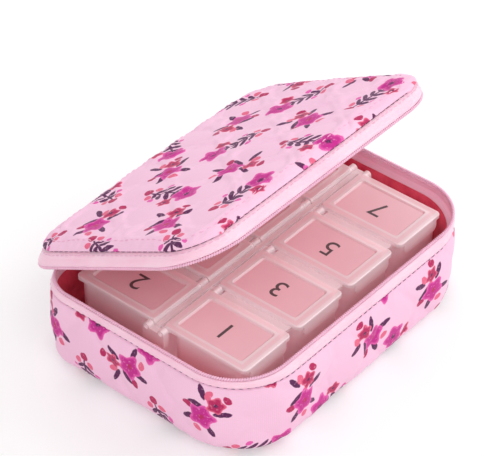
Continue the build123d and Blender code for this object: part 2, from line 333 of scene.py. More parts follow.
def lining_cotton(colour, deep):
    """Dyed cotton, plain woven: matt, with slubs a little darker than the rest."""
    material, tree, shader = start_material(
        "dyed_lining_cotton",
        roughness=0.85, sheen_weight=0.1, sheen_roughness=0.4, specular_ior_level=0.2,
    )
    cloth = node(tree, "UVMap", uv_map="cloth")
    # Thread spacing is 0.35 mm in the real cloth, drawn at 0.7 mm so that it shows
    weave = weave_bump(tree, shader, cloth, 0.7 * mm, 0.06 * mm, 0.4)
    slubs = node(tree, "TexNoise", cloth, sockets={"Scale": 1 / (6 * mm), "Detail": 4.0})
    tone = node(tree, "MapRange", slubs, 0.35, 0.7, 0, 1)
    dyed = node(tree, "Mix", tone, sockets={6: colour, 7: deep}, data_type="RGBA").outputs[2]
    # The weave's hollows are painted a little darker, a painted shade between the threads
    tone_colour(tree, shader, dyed, weave, (0, 1), (0.9, 1.0))
    return material


def zip_tape_cloth(colour, deep):
    """Polyester zip tape, herringbone woven.

    It is smoother than cotton and finely ribbed, and light shows through it.
    """
    material, tree, shader = start_material(
        "woven_polyester_tape",
        roughness=0.6, sheen_weight=0.1, sheen_roughness=0.4, specular_ior_level=0.35,
        subsurface_weight=0.5, subsurface_radius=(1.0, 0.8, 0.9), subsurface_scale=1.2 * mm,
    )
    cloth = node(tree, "UVMap", uv_map="cloth")
    # Ribs are 0.5 mm apart in the real tape, drawn at 0.8 mm so that they show
    scale = WAVE / (0.8 * mm)
    ribs, picks = (
        node(tree, "TexWave", cloth, *wave, wave_type="BANDS", bands_direction=way).outputs["Fac"]
        for way, wave in (("Y", (scale, 0.3, 1.0)), ("DIAGONAL", (scale * 1.3, 1.5, 2.0)))
    )
    height = node(tree, "Math", picks, 0.35, ribs, operation="MULTIPLY_ADD")
    bump = node(tree, "Bump", sockets={"Strength": 0.35, "Distance": 0.06 * mm, "Height": height})
    tree.links.new(bump.outputs[0], shader.inputs["Normal"])
    drift = node(tree, "TexNoise", cloth, sockets={"Scale": 1 / (18 * mm), "Detail": 2.0})
    tone = node(tree, "MapRange", drift, 0.35, 0.7, 0, 1)
    dyed = node(tree, "Mix", tone, sockets={6: colour, 7: deep}, data_type="RGBA")
    tree.links.new(dyed.outputs[2], shader.inputs["Base Color"])
    return material


def drawn_filament(name, colour, roughness):
    """Drawn nylon or polyester: smooth and faintly glossy, with a slight change of tone."""
    material, tree, shader = start_material(
        name, roughness=roughness, specular_ior_level=0.5, ior=1.53
    )
    place = node(tree, "TexCoord").outputs["Object"]
    drift = node(tree, "TexNoise", place, sockets={"Scale": 1 / (4 * mm), "Detail": 2.0})
    tone_colour(tree, shader, colour, drift, (0.3, 0.7), (0.9, 1.0))
    return material


def frosted_polypropylene(tint, deep, haze, clear):
    """Natural polypropylene, moulded with a fine spark finish.

    It is milky and softly shiny, and the lining's red shows through it. That red is also painted
    into its colour, with painted shade low in the tray and pale painted highlights along the lids'
    edges.
    """
    material, tree, shader = start_material(
        "frosted_polypropylene", ior=1.49, specular_ior_level=0.5
    )
    place = node(tree, "TexCoord").outputs["Object"]
    parts = node(tree, "SeparateXYZ", place)
    # The tray's walls stand close together, so below its rim they are milkier than the lids. Their
    # colour there is painted deeper towards the bottom, as painted shade and painted lining red
    rim_level, milky_level = 37 * mm, 30 * mm
    low = node(tree, "MapRange", parts.outputs[2], rim_level, milky_level, 0, 1)
    # The milk is counted once for each wall, where light goes in, and the shadow behind is pale
    pale_shadow = 0.12
    milkiness = node(tree, "MapRange", low, 0, 1, 1 - clear, 1 - clear / 2)
    behind = node(tree, "NewGeometry").outputs["Backfacing"]
    outside = node(tree, "MapRange", behind, 0, 1, 1, 0)
    shadow = node(tree, "LightPath").outputs["Is Shadow Ray"]
    shade = node(tree, "MapRange", shadow, 0, 1, 1, pale_shadow)
    alpha = node(tree, "Math", milkiness, outside, operation="MULTIPLY")
    alpha = node(tree, "Math", alpha, shade, operation="MULTIPLY")
    tree.links.new(alpha.outputs[0], shader.inputs["Alpha"])
    # Spark finish grit is 0.1 mm on the real mould, drawn at 0.5 mm so that it shows
    grit = node(tree, "TexNoise", place, sockets={"Scale": 1 / (0.5 * mm), "Detail": 2.0})
    bump = node(tree, "Bump", sockets={"Strength": 0.12, "Distance": 0.03 * mm, "Height": grit})
    tree.links.new(bump.outputs[0], shader.inputs["Normal"])
    cloud = node(tree, "TexNoise", place, sockets={"Scale": 1 / (9 * mm), "Detail": 3.0})
    rough = node(tree, "MapRange", cloud, 0.3, 0.7, haze - 0.02, haze + 0.03)
    tree.links.new(rough.outputs[0], shader.inputs["Roughness"])
    # How far a point lies outside the nearest pill lid's panel, and below 0 inside it
    aside = node(tree, "Math", parts, 1 / pill_pitch, operation="MULTIPLY")
    aside = node(tree, "Math", aside, operation="FRACT")
    aside = node(tree, "Math", aside, 0.5, operation="SUBTRACT")
    aside = node(tree, "Math", aside, operation="ABSOLUTE")
    aside = node(tree, "Math", aside, pill_pitch, -panel_size[0] / 2, operation="MULTIPLY_ADD")
    ahead = node(tree, "Math", parts.outputs[1], operation="ABSOLUTE")
    ahead = node(tree, "Math", ahead, panel_middle, operation="SUBTRACT")
    ahead = node(tree, "Math", ahead, operation="ABSOLUTE")
    ahead = node(tree, "Math", ahead, panel_size[1] / 2, operation="SUBTRACT")
    off_panel = node(tree, "Math", aside, ahead, operation="MAXIMUM")
    # The panel is thin and lies over the open cup, so the lining's red seen through it is painted
    # into its colour, less in the border round it and least along the border's thick edges; the
    # pale line left along the panel's bevel and the pale thick edges are painted highlights
    panel = node(tree, "MapRange", off_panel, 0, -0.7 * mm, 0, 1)
    border = node(tree, "MapRange", off_panel, 0.8 * mm, 1.3 * mm, 0, 0.6)
    border_end = node(tree, "MapRange", off_panel, 2.7 * mm, 3.1 * mm, 1, 0)
    border = node(tree, "Math", border, border_end, operation="MULTIPLY")
    red = node(tree, "Math", panel, border, operation="MAXIMUM")
    # The low tray walls take the same painted red, a painted shade deeper towards the tray's bottom
    red = node(tree, "Math", red, low, operation="MAXIMUM")
    milk_and_painted_red = node(tree, "Mix", red, sockets={6: tint, 7: deep}, data_type="RGBA").outputs[2]
    tone_colour(tree, shader, milk_and_painted_red, cloud, (0.3, 0.7), (0.98, 1.0))
    return material


def enamelled_zinc(colour):
    """Die-cast zinc under baked enamel: smooth and glossy, with small scuffs."""
    material, tree, shader = start_material("enamelled_zinc", ior=1.5, specular_ior_level=0.5)
    place = node(tree, "TexCoord").outputs["Object"]
    scuffing = {"Scale": 1 / (0.8 * mm), "Detail": 5.0, "Distortion": 1.2}
    scuffs = node(tree, "TexNoise", place, sockets=scuffing)
    rough = node(tree, "MapRange", scuffs, 0.35, 0.75, 0.22, 0.42)
    tree.links.new(rough.outputs[0], shader.inputs["Roughness"])
    bump = node(tree, "Bump", sockets={"Strength": 0.1, "Distance": 0.02 * mm, "Height": scuffs})
    tree.links.new(bump.outputs[0], shader.inputs["Normal"])
    tone_colour(tree, shader, colour, scuffs, (0.3, 0.7), (0.9, 1.0))
    return material


def pad_ink(colour):
    """Pad-printing ink on plastic: thin, satin, a little uneven where it dried."""
    material, tree, shader = start_material(
        "pad_printing_ink", roughness=0.5, specular_ior_level=0.3
    )
    place = node(tree, "TexCoord").outputs["Object"]
    blotch = node(tree, "TexNoise", place, sockets={"Scale": 1 / (0.7 * mm), "Detail": 3.0})
    tone_colour(tree, shader, colour, blotch, (0.3, 0.7), (0.85, 1.15))
    return material


def seen(tree):
    """1 for what the camera sees, also in gloss or through plastic, and 0 for other light."""
    path = node(tree, "LightPath").outputs
    shown = node(tree, "Math", path["Is Camera Ray"], path["Is Glossy Ray"], operation="MAXIMUM")
    return node(tree, "Math", shown, path["Is Transmission Ray"], operation="MAXIMUM")


def painted_floor(colour):
    """Matt white paint: it keeps the shadow, and a share of plain white makes it pale."""
    material = bpy.data.materials.new("painted_floor")
    tree = empty_tree(material)
    white_share = 0.3
    paint = node(tree, "BsdfDiffuse", colour)
    white = node(tree, "Emission", (1, 1, 1, 1), 1.0)
    share = node(tree, "Math", seen(tree), white_share, operation="MULTIPLY")
    node(tree, "OutputMaterial", node(tree, "MixShader", share, paint, white))
    return material


def finish_of(name, make, *values):
    """The named material, made the first time it is asked for."""
    return bpy.data.materials.get(name) or make(*values)


def cover_finish(scene):
    """The printed cotton of the case."""
    return finish_of("screen_printed_cotton", printed_cotton, ink_of(scene.pillbox_cloth))


def lining_finish(scene):
    """The plain cotton inside the case."""
    colours = scene.pillbox_cloth.lining, scene.pillbox_cloth.lining_deep
    return finish_of("dyed_lining_cotton", lining_cotton, *map(opaque, colours))


def thread_finish(name, colour, roughness):
    """A filament or a sewing thread of its own colour."""
    return finish_of(name, drawn_filament, name, opaque(colour), roughness)


def sewing_thread(scene):
    """The thread that holds the tapes, the lid's edge and the hinge strip."""
    return thread_finish("polyester_thread", scene.pillbox_zip.thread, 0.6)


def plan_ring(length, depth, front, back):
    """Points and outward normals round a plan, with the same count of points on every plan."""
    a, b = length / 2, depth / 2
    turns = (
        ((-a + back, b - back), back, 90, BACK_CORNER),
        ((-a + front, -b + front), front, 180, FRONT_CORNER),
        ((a - front, -b + front), front, 270, FRONT_CORNER),
        ((a - back, b - back), back, 0, BACK_CORNER),
    )
    points, normals = [], []
    last = middle = np.array((0, b))
    for count, (centre, radius, start, steps) in zip((BACK, SIDE, FRONT, SIDE), turns):
        arc = np.radians(start + 90 * np.linspace(0, 1, steps + 1))
        around = np.stack((np.cos(arc), np.sin(arc)), 1)
        corner = np.array(centre) + radius * around
        share = np.linspace(0, 1, count, endpoint=False)[:, None]
        points += [last + (corner[0] - last) * share, corner[:-1]]
        normals += [np.repeat(around[:1], count, 0), around[:-1]]
        last = corner[-1]
    share = np.linspace(0, 1, BACK, endpoint=False)[:, None]
    points.append(last + (middle - last) * share)
    normals.append(np.tile((0, 1), (BACK, 1)))
    return np.concatenate(points), np.concatenate(normals)


def run_length(line):
    """How far along a line each of its points is."""
    return np.concatenate(([0], np.cumsum(np.linalg.norm(np.diff(line, axis=0), axis=1))))


def looped(ring):
    """A ring's points with the first one again at the end."""
    return np.vstack((ring, ring[:1]))


def points_at(at, far, line):
    """Points of a line at given distances along it."""
    return np.stack([np.interp(at, far, line[:, k]) for k in range(3)], 1)


def unit(vectors):
    """The same directions, each of length 1."""
    return vectors / np.linalg.norm(vectors, axis=-1, keepdims=True)


def drawn_in(plan, inset):
    """A plan whose outline lies further in all round."""
    return tuple(value - inset * share for value, share in zip(plan, (2, 2, 1, 1)))


def lifted(points, z):
    """Plan points at a height, which may be one number or one for each point."""
    return np.column_stack((points, np.broadcast_to(z, len(points))))


def lifted_places(along, up):
    """Places on a plane, each at its own distance along it and all at one height."""
    return np.column_stack((along, np.full(len(along), up)))


def piece(name, mesh, material):
    """An object for a mesh, in the scene, with its material."""
    made = bpy.data.objects.new(name, mesh)
    bpy.context.scene.collection.objects.link(made)
    if material:
        mesh.materials.append(material)
    return made


def refinish(names, material):
    """Gives the named CAD pieces a better material."""
    for name in names:
        materials = frame["nodes"][name].data.materials
        materials.clear()
        materials.append(material)


def smooth_piece(name, points, faces, material):
    """An object with a smooth mesh of its own."""
    mesh = bpy.data.meshes.new(name)
    mesh.from_pydata(points, [], faces)
    mesh.shade_smooth()
    return piece(name, mesh, material)


def skin(name, rows, cloth, ring, material):
    """A quad mesh from rows of points, with cloth places in metres as its UV map."""
    rows, cloth = np.asarray(rows, float), np.asarray(cloth, float)
    tall, wide = rows.shape[:2]
    across = wide if ring else wide - 1
    i, k = np.meshgrid(np.arange(tall - 1), np.arange(across), indexing="ij")
    near, far = i * wide + k, i * wide + (k + 1) % wide
    quads = np.stack((near, near + wide, far + wide, far), -1).reshape(-1, 4)
    places = np.stack((cloth[i, k], cloth[i + 1, k], cloth[i + 1, k + 1], cloth[i, k + 1]), 2)
    made = smooth_piece(name, rows.reshape(-1, 3).tolist(), quads.tolist(), material)
    layer = made.data.uv_layers.new(name="cloth")
    layer.data.foreach_set("uv", places.reshape(-1).astype(np.float32))
    return made


def thicken(made, thickness):
    """Gives a cloth piece its thickness, inward from its outer face, and rounds it."""
    solid = made.modifiers.new("thickness", "SOLIDIFY")
    solid.thickness, solid.offset, solid.use_even_offset = thickness, -1.0, False
    rounder = made.modifiers.new("round", "SUBSURF")
    rounder.levels = rounder.render_levels = 1
    rounder.uv_smooth = "NONE"


def wrinkles(points, size, depth, seed):
    """A soft uneven height for each point, the same at every run."""
    shift = Vector((seed, 0, 0))
    return depth * np.array([noise.noise(Vector(p) / size + shift) for p in points])


def inflate(made, held, cap):
    """Lets the padding swell a cloth piece, held at its stitches.

    A pressed cloth simulation moves its points, each by the cap at most.
    """
    scene = bpy.context.scene
    # The solver keeps steadier at ten times the size
    grown, last_step = 10, 20
    rest = np.array([v.co for v in made.data.vertices])
    settling = piece("settling", made.data.copy(), None)
    settling.data.vertices.foreach_set("co", (rest * grown).ravel())
    group = settling.vertex_groups.new(name="held")
    for i, weight in enumerate(held):
        group.add([i], float(weight), "REPLACE")
    cloth = settling.modifiers.new("cloth", "CLOTH")
    cloth.collision_settings.use_collision = False
    settings = cloth.settings
    settings.vertex_group_mass = "held"
    settings.quality, settings.mass = 6, 0.3
    settings.tension_stiffness = settings.compression_stiffness = 18
    settings.shear_stiffness, settings.bending_stiffness = 8, 0.6
    settings.use_pressure, settings.uniform_pressure_force = True, 2.5
    # A little spare cloth gathers into puckers along the stitches
    settings.shrink_min = -0.02
    settings.effector_weights.gravity = 0
    for step in range(1, last_step + 1):
        scene.frame_set(step)
    swollen = settling.evaluated_get(bpy.context.evaluated_depsgraph_get()).data
    moved = np.array([v.co for v in swollen.vertices]) / grown - rest
    far = np.linalg.norm(moved, axis=1)
    if not np.isfinite(far).all():
        raise RuntimeError(f"{made.name}: the cloth simulation didn't settle")
    moved *= np.minimum(1, cap / np.maximum(far, 1e-9))[:, None]
    made.data.vertices.foreach_set("co", (rest + moved).ravel())
    made.data.update()
    bpy.data.objects.remove(settling)
    scene.frame_set(1)


def quilting(u, v, wide, tall):
    """From 0 on the stitched lines of a diamond quilting to 1 in the middle of a diamond."""
    a, b = u / wide + v / tall, u / wide - v / tall
    return np.sqrt(np.abs(np.sin(np.pi * a)) * np.abs(np.sin(np.pi * b)))


def plan_grid(length, depth, front, back, spacing, edge_steps):
    """Rows of points over a whole plan, close together at its edge."""
    a, b = length / 2, depth / 2

    def spread(half):
        inner = half - edge_steps[-1]
        middle = np.linspace(-inner, inner, 2 * round(inner / spacing) + 1)
        edge = half - np.array(edge_steps[:-1])
        return np.concatenate((-edge, middle, edge[::-1]))

    rows, xs = [], spread(a) / a
    for y in spread(b):
        corner = front if y < 0 else back
        past = max(0.0, abs(y) - (b - corner))
        half = a - corner + math.sqrt(max(0.0, corner**2 - past**2))
        rows.append(np.column_stack((xs * half, np.full(len(xs), y))))
    return np.array(rows)


def edge_distance(points, length, depth, front, back):
    """How far each plan point lies inside the plan's outline."""
    x, y = np.abs(points[..., 0]), points[..., 1]
    corner = np.where(y < 0, front, back)
    qx, qy = x - (length / 2 - corner), np.abs(y) - (depth / 2 - corner)
    outside = np.hypot(np.maximum(qx, 0), np.maximum(qy, 0))
    return corner - outside - np.minimum(np.maximum(qx, qy), 0)


def rolled_places(grid, plan, extra):
    """Cloth places over a plan, pushed out at its edge by what the rolled edge takes up."""
    tiny = 0.05 * mm
    slope = [
        edge_distance(grid + step, *plan) - edge_distance(grid - step, *plan)
        for step in (np.array((tiny, 0)), np.array((0, tiny)))
    ]
    return grid - np.dstack(slope) / (2 * tiny) * extra[..., None]


def tube_faces(rings):
    """Points and faces of a tube through rings of points, closed at both ends."""
    count, sides = rings.shape[:2]
    i, k = np.meshgrid(np.arange(count - 1), np.arange(sides), indexing="ij")
    near, far = i * sides + k, i * sides + (k + 1) % sides
    quads = np.stack((near, far, far + sides, near + sides), -1).reshape(-1, 4)
    ends = [list(reversed(range(sides))), [(count - 1) * sides + s for s in range(sides)]]
    return rings.reshape(-1, 3), quads.tolist() + ends


def joined(tubes):
    """The points and faces of several tubes as one list of each."""
    points, faces = [], []
    for more_points, more_faces in tubes:
        faces += [[index + len(points) for index in face] for face in more_faces]
        points += more_points.tolist()
    return points, faces


def stitch_row(name, line, lift, stitch, material):
    """A row of sewn stitches along a line, each a short bulged thread sunk at both ends.

    Lift is the way out of the cloth at each point of the line.
    """
    length, gap, thickness = stitch
    far = run_length(line)
    shares = np.array((0, 0.12, 0.35, 0.65, 0.88, 1))
    widths = np.array((0.25, 0.75, 1, 1, 0.75, 0.25)) * thickness / 2
    rise = np.array((-0.6, 0.0, 0.4, 0.4, 0.0, -0.6)) * thickness / 2
    sides = 6
    angles = (np.arange(sides) * math.tau / sides)[None, :, None]
    tubes = []
    for start in np.arange(gap / 2, far[-1] - length, length + gap):
        at = start + shares * length
        centre, up = points_at(at, far, line), points_at(at, far, lift)
        way = unit(centre[-1] - centre[0])
        up = unit(up - np.outer(up @ way, way))
        middle = (centre + up * rise[:, None])[:, None]
        side = np.cross(way, up)[:, None]
        offset = up[:, None] * np.cos(angles) + side * np.sin(angles)
        tubes.append(tube_faces(middle + offset * widths[:, None, None]))
    return smooth_piece(name, *joined(tubes), material)


def coil_thread(name, line, out, pitch, radius, wire, material):
    """A zip's coil: one filament wound round a line that follows the tape's edge."""
    turn_points, sides, core_share = 12, 5, 0.8
    far = run_length(line)
    count = int(far[-1] / pitch * turn_points)
    at = np.linspace(0, far[-1], count)
    centre, side = points_at(at, far, line), points_at(at, far, out)
    up = unit(np.cross(side, unit(np.gradient(centre, axis=0))))
    turn = (at / pitch * math.tau)[:, None]
    path = centre + radius * (side * np.cos(turn) + up * np.sin(turn))
    first = (path - centre) / radius
    second = np.cross(unit(np.gradient(path, axis=0)), first)
    angles = np.arange(sides) * math.tau / sides
    rings = [path + wire / 2 * (first * math.cos(a) + second * math.sin(a)) for a in angles]
    # The filament is wound round a cord, which needs fewer points
    steps = np.arange(0, count, turn_points // 2)
    reach = radius * core_share
    core = [(centre + reach * (side * math.cos(a) + up * math.sin(a)))[steps] for a in angles]
    tubes = (tube_faces(np.stack(ring, 1)) for ring in (rings, core))
    return smooth_piece(name, *joined(tubes), material)


def to_lid(made):
    """Turns a piece that was made on the closed lid to where the lid stands open at rest."""
    made.data.transform(open_lid)
    return made


def ride_half(made, body):
    """Rides a piece of the zip on its half of the case. The lid's were made on the closed lid."""
    if body == "case_lid":
        to_lid(made)
    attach(made, body)


def aimed(name, data, place, way):
    """A lamp or the camera in the scene, at a place and turned one way."""
    made = bpy.data.objects.new(name, data)
    bpy.context.scene.collection.objects.link(made)
    made.location = place
    made.rotation_euler = way.to_track_quat("-Z", "Y").to_euler()
    return made


class PILLBOX_PG_cloth(bpy.types.PropertyGroup):
    """Colours of the case's cloth."""

    ground: bpy.props.FloatVectorProperty(
        name="Ground", description="Colour of the printed cotton",
        subtype="COLOR", default=linear("F9CBE3"),
    )
    ground_deep: bpy.props.FloatVectorProperty(
        name="Ground drift", description="Deeper tone of the same dye",
        subtype="COLOR", default=linear("F5C0DC"),
    )
    magenta: bpy.props.FloatVectorProperty(
        name="Magenta ink", description="Main colour of the flowers",
        subtype="COLOR", default=linear("C6288C"),
    )
    pink: bpy.props.FloatVectorProperty(
        name="Pink ink", description="Petal ends",
        subtype="COLOR", default=linear("E85DAE"),
    )
    crimson: bpy.props.FloatVectorProperty(
        name="Crimson ink", description="Berries and buds",
        subtype="COLOR", default=linear("B8285E"),
    )
    coral: bpy.props.FloatVectorProperty(
        name="Coral ink", description="Small buds",
        subtype="COLOR", default=linear("E8688A"),
    )
    plum: bpy.props.FloatVectorProperty(
        name="Plum ink", description="Twigs and leaves",
        subtype="COLOR", default=linear("5C2453"),
    )
    lining: bpy.props.FloatVectorProperty(
        name="Lining", description="Colour of the lining",
        subtype="COLOR", default=linear("E8576E"),
    )
    lining_deep: bpy.props.FloatVectorProperty(
        name="Lining drift", description="Deeper tone of the lining",
        subtype="COLOR", default=linear("CE3A55"),
    )


class PILLBOX_PG_quilt(bpy.types.PropertyGroup):
    """Sizes of the quilting."""

    wide: bpy.props.FloatProperty(
        name="Diamond width", description="Across a diamond, along the case",
        unit="LENGTH", default=29 * mm,
    )
    tall: bpy.props.FloatProperty(
        name="Diamond height", description="Across a diamond, up the cloth",
        unit="LENGTH", default=35 * mm,
    )
    lid_puff: bpy.props.FloatProperty(
        name="Lid puff", description="How far a diamond swells on the lid",
        unit="LENGTH", default=1.5 * mm,
    )
    base_puff: bpy.props.FloatProperty(
        name="Base puff", description="How far a diamond swells on the base",
        unit="LENGTH", default=0.7 * mm,
    )
    top_stitch: bpy.props.FloatProperty(
        name="Top-stitch inset", description="From the lid's seam in to its top-stitching",
        unit="LENGTH", default=3.4 * mm,
    )


class PILLBOX_PG_zip(bpy.types.PropertyGroup):
    """Sizes and colours of the zip."""

    pitch: bpy.props.FloatProperty(
        name="Tooth pitch", description="From one tooth to the next",
        unit="LENGTH", default=0.95 * mm,
    )
    wire: bpy.props.FloatProperty(
        name="Filament", description="Thickness of the coil's filament",
        unit="LENGTH", default=0.6 * mm,
    )
    tape: bpy.props.FloatVectorProperty(
        name="Tape", description="Colour of the tape",
        subtype="COLOR", default=linear("F7CFDE"),
    )
    tape_deep: bpy.props.FloatVectorProperty(
        name="Tape drift", description="Deeper tone of the tape",
        subtype="COLOR", default=linear("F3C3D6"),
    )
    coil: bpy.props.FloatVectorProperty(
        name="Coil", description="Colour of the coil",
        subtype="COLOR", default=linear("F6C4DC"),
    )
    thread: bpy.props.FloatVectorProperty(
        name="Thread", description="Colour of the sewing thread",
        subtype="COLOR", default=linear("F3BBD6"),
    )
    metal: bpy.props.FloatVectorProperty(
        name="Metal", description="Enamel of slider and pull",
        subtype="COLOR", default=linear("F7D9E9"),
    )


class PILLBOX_PG_organiser(bpy.types.PropertyGroup):
    """Look of the organiser."""

    tint: bpy.props.FloatVectorProperty(
        name="Plastic", description="Colour of the thick plastic",
        subtype="COLOR", default=linear("FFF1F4"),
    )
    # The painted see-through colour: the lining's red and the shade low in the tray, painted into
    # the plastic
    deep: bpy.props.FloatVectorProperty(
        name="Painted see-through", description="Colour where the lining shows through",
        subtype="COLOR", default=linear("FFD3DC"),
    )
    haze: bpy.props.FloatProperty(
        name="Haze", description="Roughness of the frosting",
        min=0, max=1, default=0.3,
    )
    clear: bpy.props.FloatProperty(
        name="Clearness", description="Share of the light that passes straight",
        min=0, max=1, default=0.28,
    )
    number_height: bpy.props.FloatProperty(
        name="Number height", description="Size of the lid numbers",
        unit="LENGTH", default=12 * mm,
    )
    ink: bpy.props.FloatVectorProperty(
        name="Ink", description="Colour of the lid numbers",
        subtype="COLOR", default=linear("5A5052"),
    )


class PILLBOX_PG_stage(bpy.types.PropertyGroup):
    """Light and floor."""

    floor: bpy.props.FloatVectorProperty(
        name="Floor", description="Colour of the floor",
        subtype="COLOR", default=linear("FDFCFC"),
    )
    key: bpy.props.FloatProperty(
        name="Key light", description="Power of the key light",
        unit="POWER", default=2.5,
    )
    fill: bpy.props.FloatProperty(
        name="Fill light", description="Strength of the light all round", default=0.68
    )


def ink_of(cloth):
    """The print's colours by name."""
    names = ("ground", "ground_deep", "magenta", "pink", "crimson", "coral", "plum")
    return {name: opaque(getattr(cloth, name)) for name in names}


class PILLBOX_OT_base_cloth(bpy.types.Operator):
    """Makes the quilted side band and bottom of the base"""

    bl_idname = "pillbox.base_cloth"
    bl_label = "Base cloth"

    def execute(self, context):
        quilt, cover = context.scene.pillbox_quilt, cover_finish(context.scene)
        ring, out = plan_ring(*base_plan)
        far = run_length(looped(ring))
        repeats = round(far[-1] / quilt.wide)
        # The band's profile goes from the zip seam down the wall, round the bottom edge and in to
        # the bottom seam
        straight = base_height - bottom_radius
        quarter = bottom_radius * math.pi / 2
        tucked = 0.8 * mm
        steps = np.concatenate(
            (
                (0, 0.3 * mm, tucked),
                np.linspace(1.6 * mm, straight, 16, endpoint=False),
                straight + bottom_radius * np.linspace(0, math.pi / 2, 12),
                (straight + quarter + bottom_seam - bottom_radius,),
            )
        )
        rows, places, held = [], [], []
        for step in steps:
            turn = min(max((step - straight) / bottom_radius, 0), math.pi / 2)
            upright = math.cos(turn)
            flat = max(0, step - straight - quarter)
            inset = bottom_radius * (1 - upright) + flat
            z = base_height - min(step, straight) - bottom_radius * math.sin(turn)
            around = far[:-1] / far[-1] * repeats * quilt.wide
            puff = quilting(around, step, quilt.wide, quilt.tall)
            line = lifted(ring - inset * out, z)
            uneven = wrinkles(line, size=16 * mm, depth=0.5 * mm, seed=9)
            pucker = wrinkles(line, size=3.2 * mm, depth=0.22 * mm, seed=3)
            # The wall bellies out a little, and its top edge is tucked in under the tape
            swell = min(1, step / (3 * mm)) * upright * (quilt.base_puff * (puff - 0.6) + uneven)
            swell += pucker * math.exp(-step / (4 * mm)) * min(1, step / mm)
            swell += 0.8 * mm * math.sin(math.pi * min(1, step / straight)) * upright
            swell -= 0.7 * mm * max(0, 1 - step / tucked) ** 2
            rows.append(line + lifted(out * swell[:, None] * upright, 0))
            places.append(lifted_places(far, -step))
            at_edge = max(1 - step / (1.2 * mm), 1 - z / (5 * mm))
            held.append(np.maximum(1 - puff / QUILTED, at_edge).clip(0, 1))
        band = skin("base_band_cloth", rows, places, True, cover)
        inflate(band, np.concatenate(held), 0.8 * mm)
        thicken(band, cover_thick)
        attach(band, "case_base")
        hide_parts("base_side_band", "base_padding")

        inner = drawn_in(base_plan, bottom_seam)
        grid = plan_grid(*inner, 1.6 * mm, (0, 0.5 * mm, 1.2 * mm, 2.4 * mm))
        edge = edge_distance(grid, *inner)
        puff = quilting(grid[..., 0], grid[..., 1], quilt.wide, quilt.tall)
        sunk = 0.35 * mm * (1 - np.minimum(puff, np.minimum(1, edge / (1.5 * mm))))
        rows = np.dstack((grid, sunk))[::-1]
        # The print starts elsewhere on this cut of the cloth
        places = grid[::-1] + 13 * mm
        bottom = skin("base_bottom_cloth", rows, places, False, cover)
        bottom.data.flip_normals()
        thicken(bottom, cover_thick)
        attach(bottom, "case_base")
        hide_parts("base_bottom_panel")
        return {"FINISHED"}


class PILLBOX_OT_base_lining(bpy.types.Operator):
    """Makes the lining that shows round the organiser"""

    bl_idname = "pillbox.base_lining"
    bl_label = "Base lining"

    def execute(self, context):
        lining = lining_finish(context.scene)
        ring, out = plan_ring(*base_plan)
        far = run_length(looped(ring))
        round_off = bottom_radius - wall
        floor = wall
        # How far in from the outline and how high the lining lies, from its turned edge down
        edge = ((1.3, 0), (2.0, 0.6), (3.0, 2), (3.7, 4))
        profile = [(inset * mm, base_height - drop * mm) for inset, drop in edge]
        profile += [
            (wall, z) for z in np.linspace(base_height - 7 * mm, floor + round_off, 12)
        ]
        profile += [
            (wall + round_off * (1 - math.cos(t)), floor + round_off * (1 - math.sin(t)))
            for t in np.linspace(0.2, math.pi / 2, 6)
        ]
        # The last rows draw in under the organiser, whose floor rests on the lining
        profile += [(wall + round_off + r * mm, floor) for r in (0.8, 1.6)]
        rows, places, run = [], [], 0.0
        last = profile[0]
        for inset, z in profile:
            run += math.hypot(inset - last[0], z - last[1])
            last = (inset, z)
            line = lifted(ring - inset * out, z)
            fold_depth = 0.5 * mm * min(1, run / (5 * mm))
            fold_depth *= min(1, max(0, (z - floor) / (6 * mm)))
            swell = wrinkles(line, size=11 * mm, depth=1.0, seed=21) * fold_depth
            rows.append(line + lifted(out * swell[:, None], 0))
            places.append(lifted_places(far, run))
        walls = skin("base_lining_cloth", rows[::-1], places[::-1], True, lining)
        thicken(walls, lining_thick)
        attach(walls, "case_base")
        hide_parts("base_lining")

        inner = drawn_in(base_plan, profile[-1][0])
        grid = plan_grid(*inner, 3 * mm, (0, 1 * mm, 2.4 * mm))
        rows = np.dstack((grid, np.full(grid.shape[:2], floor)))
        bed = skin("base_lining_floor", rows, grid, False, lining)
        thicken(bed, lining_thick)
        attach(bed, "case_base")
        return {"FINISHED"}


